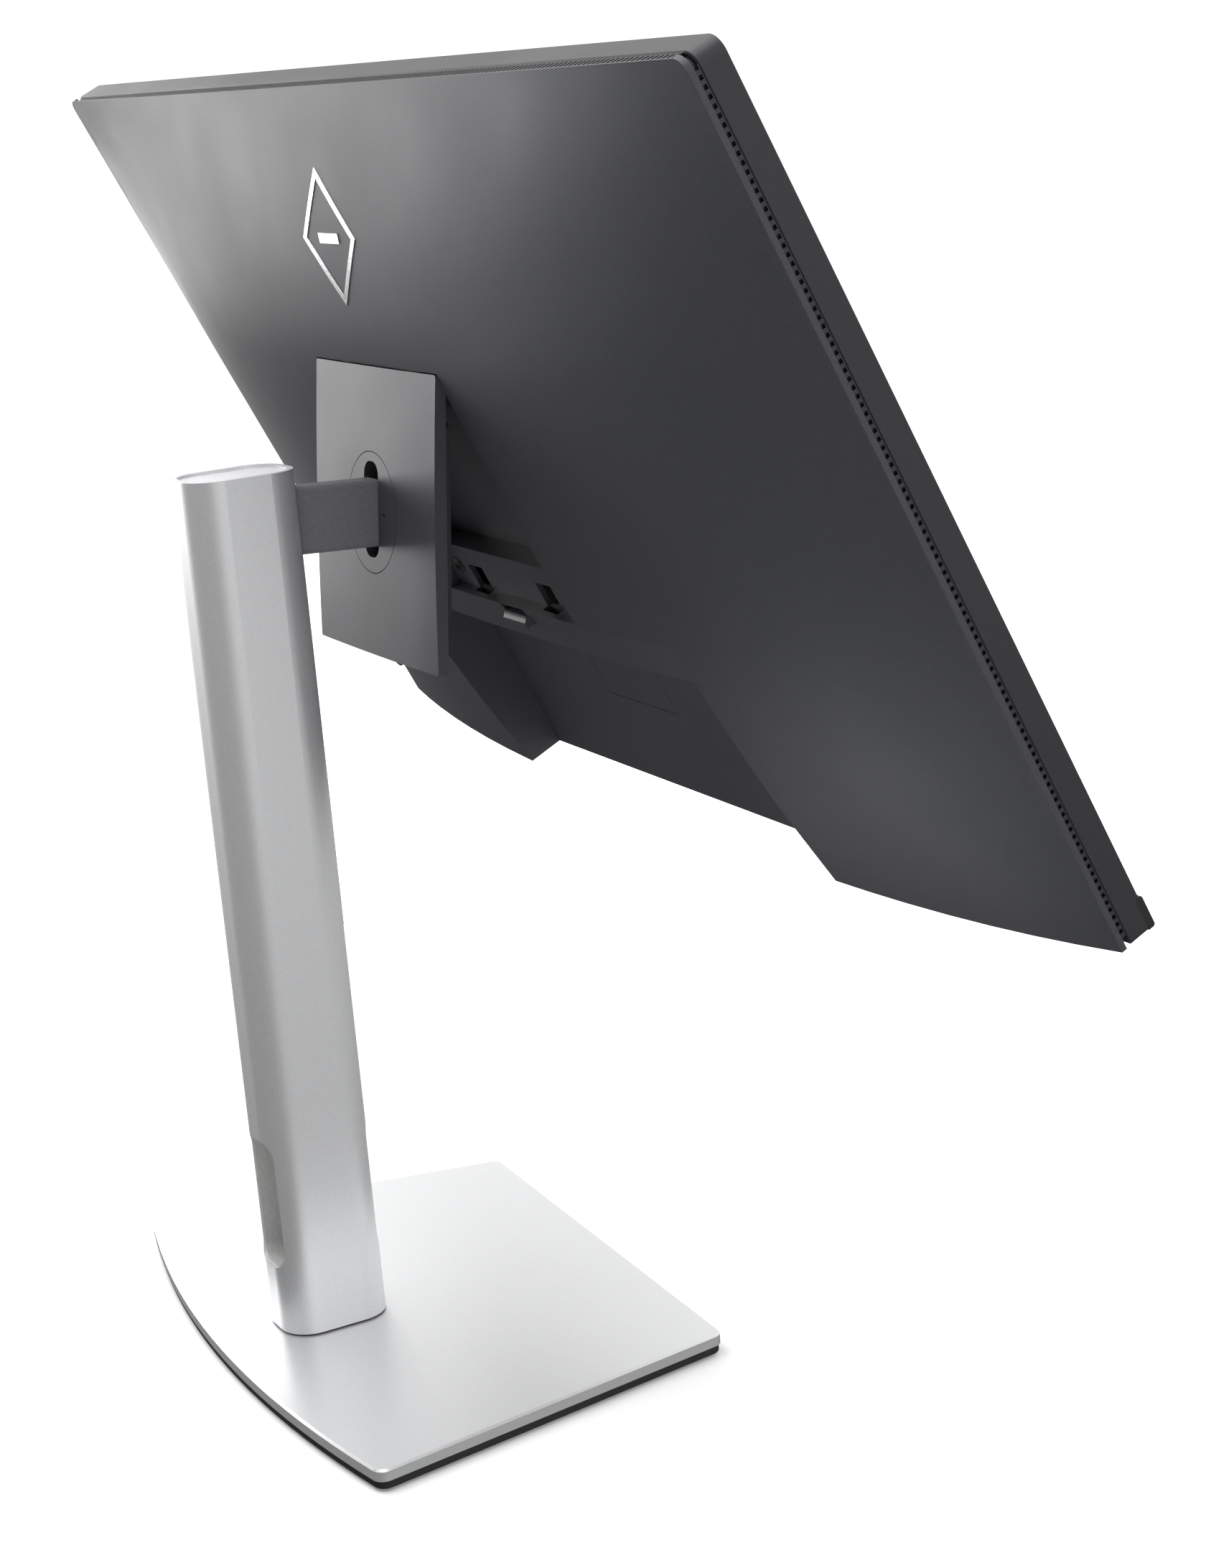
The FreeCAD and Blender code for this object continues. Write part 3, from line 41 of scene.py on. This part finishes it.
# ---- studio: the surroundings are dim below the horizon, bright above it and dimmer towards +Y ----
WORLD_DARK_Z = -0.42
WORLD_LIGHT_Z = -0.02
WORLD_LOW = 0.04
WORLD_HIGH = 1.12
WORLD_TURN_Y = 0.0
WORLD_DIM_Y = 0.65
WORLD_BEHIND = 0.26
FLOOR_REACH = 12.0
FLOOR_GLOW = 0.14
KEY_TOP = {"place": (0.3, 0.2, 3.0), "target": (0.0, 0.0, 0.0), "size": (3.4, 3.4), "power": 90.0}
FAR_SIDE = {"place": (2.6, 0.45, 0.62), "target": (0.0, 0.0, 0.35), "size": (2.4, 1.2), "power": 34.0}

# ---- relief depths and the share of a texture's values that carries the variation ----
GRAIN_RELIEF = 0.12 * MM
BLAST_RELIEF = 0.10 * MM
FINE_RELIEF = 0.05 * MM
NOISE_BAND = (0.3, 0.7)
FULL_BAND = (0.0, 1.0)

# ---- panel glass: black border around the picture, lower along Z because the glass leans ----
GLASS_BORDER = 6.5 * MM
GLASS_BORDER_Z = GLASS_BORDER * 0.9
PAST_GLASS = 1.0
PICTURE_COLOR = (0.012, 0.013, 0.017, 1.0)

# ---- base skirt ----
SKIRT_INSET = 0.7 * MM
SKIRT_LOW = 1.4 * MM
SKIRT_ROUNDING = 0.5 * MM
OUTLINE_DIGITS = 5

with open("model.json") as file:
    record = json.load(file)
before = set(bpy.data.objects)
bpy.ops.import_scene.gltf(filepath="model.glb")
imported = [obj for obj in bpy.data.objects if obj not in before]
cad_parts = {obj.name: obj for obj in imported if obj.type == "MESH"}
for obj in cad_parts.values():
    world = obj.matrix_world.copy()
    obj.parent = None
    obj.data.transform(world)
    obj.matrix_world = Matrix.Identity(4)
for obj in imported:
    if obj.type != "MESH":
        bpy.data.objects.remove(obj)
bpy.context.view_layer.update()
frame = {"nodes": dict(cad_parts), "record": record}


# ------------------------------------------------------------------ shared helpers
def add_object(name, data):
    """Put new data into the scene as an object."""
    thing = bpy.data.objects.new(name, data)
    bpy.context.scene.collection.objects.link(thing)
    return thing


def ramp(tree, value, band, low, high, easing="LINEAR"):
    """Go from low to high while the value crosses the band."""
    node = tree.nodes.new("ShaderNodeMapRange")
    node.interpolation_type = easing
    node.inputs["From Min"].default_value = band[0]
    node.inputs["From Max"].default_value = band[1]
    node.inputs["To Min"].default_value = low
    node.inputs["To Max"].default_value = high
    tree.links.new(value, node.inputs["Value"])
    return node.outputs["Result"]


def multiply(tree, first, second):
    node = tree.nodes.new("ShaderNodeMath")
    node.operation = "MULTIPLY"
    tree.links.new(first, node.inputs[0])
    tree.links.new(second, node.inputs[1])
    return node.outputs["Value"]


# ------------------------------------------------------------------ material nodes
class Shader:
    """A Principled material that is put together from a few named layers."""

    def __init__(self, name, color, roughness, metallic=0.0):
        self.material = bpy.data.materials.new(name)
        self.material.use_nodes = True
        self.tree = self.material.node_tree
        self.bsdf = self.tree.nodes["Principled BSDF"]
        self.set("Base Color", (*color, 1.0))
        self.set("Roughness", roughness)
        self.set("Metallic", metallic)
        self.color = color
        self.roughness = roughness
        self.place = self.tree.nodes.new("ShaderNodeTexCoord").outputs["Object"]

    def set(self, socket, value):
        self.bsdf.inputs[socket].default_value = value

    def link(self, a, b):
        self.tree.links.new(a, b)

    def noise(self, scale, detail=2.0, stretch=(1.0, 1.0, 1.0)):
        """Noise value over the surface."""
        mapping = self.tree.nodes.new("ShaderNodeMapping")
        mapping.inputs["Scale"].default_value = stretch
        node = self.tree.nodes.new("ShaderNodeTexNoise")
        node.inputs["Scale"].default_value = scale
        node.inputs["Detail"].default_value = detail
        self.link(self.place, mapping.inputs["Vector"])
        self.link(mapping.outputs["Vector"], node.inputs["Vector"])
        return node.outputs["Fac"]

    def cells(self, scale):
        """A random value for each small cell, for flakes and beads."""
        node = self.tree.nodes.new("ShaderNodeTexVoronoi")
        node.inputs["Scale"].default_value = scale
        self.link(self.place, node.inputs["Vector"])
        split = self.tree.nodes.new("ShaderNodeSeparateColor")
        self.link(node.outputs["Color"], split.inputs["Color"])
        return split.outputs["Red"]

    def vary_color(self, value, amount, band=NOISE_BAND):
        """Darken and lighten the colour by a share of itself; returns the mixed colour."""
        mix = self.tree.nodes.new("ShaderNodeMix")
        mix.data_type = "RGBA"
        dark = tuple(c * (1.0 - amount) for c in self.color)
        light = tuple(min(1.0, c * (1.0 + amount)) for c in self.color)
        mix.inputs["A"].default_value = (*dark, 1.0)
        mix.inputs["B"].default_value = (*light, 1.0)
        self.link(ramp(self.tree, value, band, 0.0, 1.0), mix.inputs["Factor"])
        self.link(mix.outputs["Result"], self.bsdf.inputs["Base Color"])
        return mix.outputs["Result"]

    def vary_roughness(self, value, amount, band=NOISE_BAND):
        low = max(0.02, self.roughness - amount)
        high = self.roughness + amount
        self.link(ramp(self.tree, value, band, low, high), self.bsdf.inputs["Roughness"])

    def bump(self, value, strength, distance):
        node = self.tree.nodes.new("ShaderNodeBump")
        node.inputs["Strength"].default_value = strength
        node.inputs["Distance"].default_value = distance
        self.link(value, node.inputs["Height"])
        self.link(node.outputs["Normal"], self.bsdf.inputs["Normal"])

    def mask_box(self, low, high):
        """1 inside a box of object coordinates, 0 outside."""
        split = self.tree.nodes.new("ShaderNodeSeparateXYZ")
        self.link(self.place, split.inputs["Vector"])
        inside = [self.mask_span(split.outputs[axis], a, b) for axis, a, b in zip("XYZ", low, high)]
        return multiply(self.tree, multiply(self.tree, inside[0], inside[1]), inside[2])

    def mask_span(self, value, low, high):
        """1 while the value lies between low and high, 0 elsewhere."""
        compare = self.tree.nodes.new("ShaderNodeMath")
        compare.operation = "COMPARE"
        compare.inputs[1].default_value = (low + high) / 2
        compare.inputs[2].default_value = (high - low) / 2
        self.link(value, compare.inputs[0])
        return compare.outputs["Value"]


# ------------------------------------------------------------------ plastics and rubber
def moulded(name, color, roughness, grain=1600.0, depth=0.12):
    """Moulded plastic with a spark-eroded texture."""
    shader = Shader(name, color, roughness)
    shader.vary_color(shader.noise(grain * 0.6, detail=4.0), amount=0.10)
    shader.vary_roughness(shader.noise(14.0, detail=3.0), amount=0.03)
    shader.bump(shader.noise(grain, detail=3.0), strength=depth, distance=GRAIN_RELIEF)
    return shader


def graphite_plastic():
    shader = moulded("graphite_plastic", (0.0345, 0.0355, 0.0425), roughness=0.45)
    shader.set("IOR", 1.5)
    return shader


# Painted light: the arm is the same graphite plastic, given a lighter base colour that stands in for the
# light its side gets from the camera side.
def graphite_arm():
    shader = moulded("graphite_arm", (0.115, 0.117, 0.126), roughness=0.45)
    shader.set("IOR", 1.5)
    return shader


def graphite_rim():
    shader = moulded("graphite_rim", (0.017, 0.0175, 0.021), roughness=0.45)
    shader.set("IOR", 1.48)
    return shader


def trim_black():
    return moulded("trim_black", (0.010, 0.010, 0.011), roughness=0.55, grain=1400.0, depth=0.15)


def pan_black():
    return moulded("pan_black", (0.014, 0.014, 0.016), roughness=0.5, grain=1200.0, depth=0.2)


def bezel_black():
    return moulded("bezel_black", (0.012, 0.012, 0.013), roughness=0.28, grain=1500.0, depth=0.05)


def foot_rubber():
    shader = moulded("foot_rubber", (0.020, 0.020, 0.021), roughness=0.85, grain=900.0, depth=0.3)
    shader.set("Specular IOR Level", 0.3)
    return shader


def liner_grey():
    return moulded("liner_grey", (0.40, 0.40, 0.39), roughness=0.5, grain=1500.0, depth=0.08)


def nylon():
    shader = moulded("nylon", (0.78, 0.76, 0.70), roughness=0.45, grain=1000.0, depth=0.06)
    shader.set("Subsurface Weight", 0.1)
    return shader


def silver_cap():
    shader = moulded("silver_cap", (0.74, 0.74, 0.76), roughness=0.45, grain=1800.0, depth=0.05)
    shader.set("Metallic", 0.25)
    return shader


def optic_film():
    return moulded("optic_film", (0.88, 0.88, 0.86), roughness=0.5, grain=1500.0, depth=0.04)


def acrylic():
    shader = moulded("acrylic", (0.82, 0.87, 0.88), roughness=0.12, grain=700.0, depth=0.02)
    shader.set("Transmission Weight", 0.6)
    return shader


def light_white():
    shader = moulded("light_white", (0.80, 0.84, 0.90), roughness=0.3, grain=900.0, depth=0.03)
    shader.set("Subsurface Weight", 0.3)
    return shader


# ------------------------------------------------------------------ metals
def silver_paint():
    """Fine metallic lacquer whose flakes sparkle."""
    shader = Shader("silver_paint", (0.76, 0.765, 0.772), roughness=0.34, metallic=0.7)
    shader.vary_color(shader.cells(5200.0), amount=0.05, band=FULL_BAND)
    shader.vary_roughness(shader.cells(4100.0), amount=0.05, band=FULL_BAND)
    shader.bump(shader.noise(3600.0), strength=0.04, distance=FINE_RELIEF)
    shader.set("Coat Weight", 0.15)
    shader.set("Coat Roughness", 0.3)
    return shader


def satin_aluminium():
    """Extruded, bead-blasted and anodised aluminium."""
    shader = Shader("satin_aluminium", (0.79, 0.795, 0.805), roughness=0.38, metallic=0.75)
    shader.vary_color(shader.cells(2400.0), amount=0.04, band=FULL_BAND)
    shader.vary_roughness(shader.noise(9.0, detail=3.0, stretch=(1.0, 1.0, 0.3)), amount=0.02)
    shader.bump(shader.noise(1900.0), strength=0.07, distance=BLAST_RELIEF)
    return shader


def steel_zinc():
    shader = Shader("steel_zinc", (0.52, 0.52, 0.53), roughness=0.36, metallic=1.0)
    shader.vary_color(shader.noise(120.0, detail=4.0), amount=0.12)
    shader.vary_roughness(shader.noise(500.0, detail=3.0, stretch=(1.0, 1.0, 0.15)), amount=0.10)
    shader.bump(shader.noise(900.0, stretch=(1.0, 1.0, 0.1)), strength=0.08, distance=BLAST_RELIEF)
    return shader


def badge_metal():
    shader = Shader("badge_metal", (0.88, 0.88, 0.89), roughness=0.22, metallic=1.0)
    shader.vary_color(shader.noise(900.0), amount=0.03)
    shader.vary_roughness(shader.noise(700.0, detail=3.0), amount=0.05)
    shader.bump(shader.noise(1500.0), strength=0.04, distance=FINE_RELIEF)
    return shader


# ------------------------------------------------------------------ panel and boards
def panel_glass():
    """Anti-glare front with a slightly lighter picture area inside a black border."""
    shader = Shader("panel_glass", (0.006, 0.006, 0.007), roughness=0.26)
    low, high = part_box("lcd_glass")
    border = Vector((GLASS_BORDER, -PAST_GLASS, GLASS_BORDER_Z))
    black = shader.vary_color(shader.noise(2500.0, detail=1.0), amount=0.15)
    picture = shader.tree.nodes.new("ShaderNodeMix")
    picture.data_type = "RGBA"
    picture.inputs["B"].default_value = PICTURE_COLOR
    shader.link(black, picture.inputs["A"])
    shader.link(shader.mask_box(low + border, high - border), picture.inputs["Factor"])
    shader.link(picture.outputs["Result"], shader.bsdf.inputs["Base Color"])
    shader.vary_roughness(shader.noise(1800.0), amount=0.04)
    shader.bump(shader.noise(3500.0, detail=1.0), strength=0.05, distance=FINE_RELIEF)
    return shader


def circuit_green():
    """Solder mask over copper traces."""
    shader = Shader("circuit_green", (0.018, 0.10, 0.045), roughness=0.3)
    traces = shader.tree.nodes.new("ShaderNodeTexBrick")
    traces.inputs["Scale"].default_value = 220.0
    traces.inputs["Mortar Size"].default_value = 0.03
    shader.link(shader.place, traces.inputs["Vector"])
    shader.vary_color(traces.outputs["Fac"], amount=0.35, band=FULL_BAND)
    shader.vary_roughness(shader.noise(300.0), amount=0.06)
    shader.bump(traces.outputs["Fac"], strength=0.2, distance=FINE_RELIEF)
    return shader


# ------------------------------------------------------------------ finishes on the CAD nodes
FINISHES = (silver_paint, satin_aluminium, silver_cap, pan_black, foot_rubber, steel_zinc, nylon,
            trim_black, graphite_plastic, graphite_arm, graphite_rim, liner_grey, bezel_black,
            panel_glass, optic_film, acrylic, circuit_green, badge_metal, light_white)
MATERIALS = {finish.__name__: finish().material for finish in FINISHES}


def finish_nodes():
    """Give every CAD node the finish that its material slot names."""
    for part in frame["record"]["subparts"]:
        mesh = frame["nodes"][part["node"]].data
        mesh.materials.clear()
        mesh.materials.append(MATERIALS[part["material_slot"]])


# ------------------------------------------------------------------ base skirt
def turn_of(a, b, c):
    """Positive where the path from a through b to c turns left."""
    return (b[0] - a[0]) * (c[1] - a[1]) - (b[1] - a[1]) * (c[0] - a[0])


def outline_from_above(mesh):
    """Convex outline of a mesh seen from above, anticlockwise."""
    ordered = sorted({(round(v.co.x, OUTLINE_DIGITS), round(v.co.y, OUTLINE_DIGITS)) for v in mesh.vertices})
    chains = []
    for run in (ordered, ordered[::-1]):
        chain = []
        for p in run:
            while len(chain) > 1 and turn_of(chain[-2], chain[-1], p) <= 0.0:
                chain.pop()
            chain.append(p)
        chains.append(chain[:-1])
    return chains[0] + chains[1]


def prism(name, ring, low, high):
    """Closed upright prism on a ring of flat points."""
    count = len(ring)
    verts = [(x, y, low) for x, y in ring] + [(x, y, high) for x, y in ring]
    faces = [(k, (k + 1) % count, count + (k + 1) % count, count + k) for k in range(count)]
    faces.append(tuple(range(count))[::-1])
    faces.append(tuple(range(count, 2 * count)))
    mesh = bpy.data.meshes.new(name)
    mesh.from_pydata(verts, [], faces)
    return mesh


def make_skirt():
    """Dark moulded skirt that shows between the silver base plate and the desk."""
    low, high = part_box("base_top")
    middle = (low + high) / 2
    reach = (high - low) / 2
    ring = []
    for x, y in outline_from_above(frame["nodes"]["base_top"].data):
        x = middle.x + (x - middle.x) * (1.0 - SKIRT_INSET / reach.x)
        y = middle.y + (y - middle.y) * (1.0 - SKIRT_INSET / reach.y)
        ring.append((x, y))
    mesh = prism("base_skirt", ring, SKIRT_LOW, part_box("base_pan")[1].z)
    mesh.materials.append(MATERIALS["pan_black"])
    skirt = add_object("base_skirt", mesh)
    soften = skirt.modifiers.new("soften", "BEVEL")
    soften.width = SKIRT_ROUNDING
    soften.segments = 2
    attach(skirt, "stand_base")


# ------------------------------------------------------------------ stage
def floor_white():
    shader = Shader("floor_white", (0.96, 0.96, 0.96), roughness=0.5)
    shader.set("Specular IOR Level", 0.25)
    shader.set("Emission Color", (1.0, 1.0, 1.0, 1.0))
    shader.set("Emission Strength", FLOOR_GLOW)
    return shader


def make_floor():
    """White desk that stays out of reflections."""
    mesh = bpy.data.meshes.new("floor")
    corners = [(x * FLOOR_REACH, y * FLOOR_REACH, 0.0) for x, y in ((-1, -1), (1, -1), (1, 1), (-1, 1))]
    mesh.from_pydata(corners, [], [(0, 1, 2, 3)])
    mesh.materials.append(floor_white().material)
    floor = add_object("floor", mesh)
    floor.visible_glossy = False


def make_world():
    """Surroundings whose strength follows the direction; the backdrop itself is plain white."""
    world = bpy.data.worlds.new("studio")
    bpy.context.scene.world = world
    world.use_nodes = True
    tree = world.node_tree
    background = tree.nodes["Background"]
    background.inputs["Color"].default_value = (1.0, 1.0, 1.0, 1.0)
    place = tree.nodes.new("ShaderNodeTexCoord")
    split = tree.nodes.new("ShaderNodeSeparateXYZ")
    tree.links.new(place.outputs["Generated"], split.inputs["Vector"])
    horizon = (WORLD_DARK_Z, WORLD_LIGHT_Z)
    rise = ramp(tree, split.outputs["Z"], horizon, WORLD_LOW, WORLD_HIGH, "SMOOTHSTEP")
    turn = (WORLD_TURN_Y, WORLD_DIM_Y)
    side = ramp(tree, split.outputs["Y"], turn, 1.0, WORLD_BEHIND, "SMOOTHSTEP")
    backdrop = tree.nodes.new("ShaderNodeMix")
    backdrop.inputs["B"].default_value = WORLD_HIGH
    path = tree.nodes.new("ShaderNodeLightPath")
    tree.links.new(path.outputs["Is Camera Ray"], backdrop.inputs["Factor"])
    tree.links.new(multiply(tree, rise, side), backdrop.inputs["A"])
    tree.links.new(backdrop.outputs["Result"], background.inputs["Strength"])


def area_light(name, place, target, size, power):
    data = bpy.data.lights.new(name, "AREA")
    data.shape = "RECTANGLE"
    data.size, data.size_y = size
    data.energy = power
    light = add_object(name, data)
    light.location = place
    aim = Vector(target) - Vector(place)
    light.rotation_mode = "QUATERNION"
    light.rotation_quaternion = aim.to_track_quat("-Z", "Y")
    light.visible_camera = False


def make_lights():
    area_light("key_top", **KEY_TOP)
    area_light("far_side", **FAR_SIDE)


def make_camera():
    yaw = math.radians(CAMERA_YAW)
    pitch = math.radians(CAMERA_PITCH)
    roll = math.radians(CAMERA_ROLL)
    ahead = Vector((math.sin(yaw) * math.cos(pitch), -math.cos(yaw) * math.cos(pitch), -math.sin(pitch)))
    level = Vector((-math.cos(yaw), -math.sin(yaw), 0.0))
    rise = level.cross(ahead)
    right = level * math.cos(roll) + rise * math.sin(roll)
    up = rise * math.cos(roll) - level * math.sin(roll)
    data = bpy.data.cameras.new("camera")
    data.lens = LENS
    data.clip_start = 0.02
    data.clip_end = 100.0
    camera = add_object("camera", data)
    turn = Matrix((right, up, -ahead)).transposed()
    camera.matrix_world = Matrix.Translation(CAMERA_AT) @ turn.to_4x4()
    bpy.context.scene.camera = camera


finish_nodes()
make_skirt()
make_floor()
make_world()
make_lights()
make_camera()
bpy.context.scene.view_settings.view_transform = "Standard"
